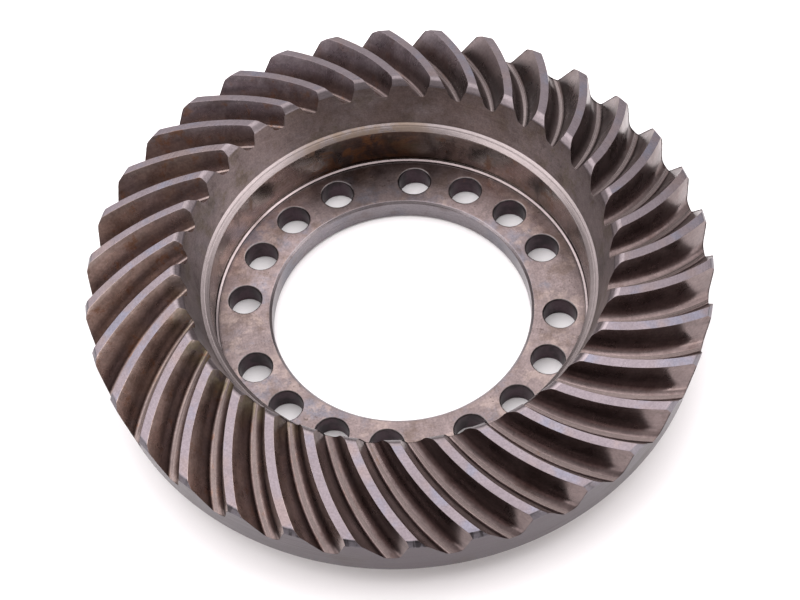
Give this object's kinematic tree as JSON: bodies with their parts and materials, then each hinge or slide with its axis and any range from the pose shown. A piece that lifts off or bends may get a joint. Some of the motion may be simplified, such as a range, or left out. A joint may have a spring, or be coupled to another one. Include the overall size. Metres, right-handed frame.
{
  "type": "spiral bevel ring gear",
  "caption": "Spiral bevel ring gear with curved left-hand teeth, a recessed bolting flange with grouped bolt holes and a large pilot bore.",
  "frame": {"origin": "centre of the pilot bore, on the mounting back face", "axes": "+Z along the gear axis from the back face towards the teeth; +X and +Y each pass midway through a wide gap between two groups of bolt holes"},
  "size_m": [0.2678, 0.2674, 0.056],
  "materials": {
    "gear_steel": "satin ground and turned steel, oiled and lightly stained, with darker lapped tooth flanks"
  },
  "bodies": {
    "root": {"ring_gear": "gear_steel"}
  },
  "joints": []
}
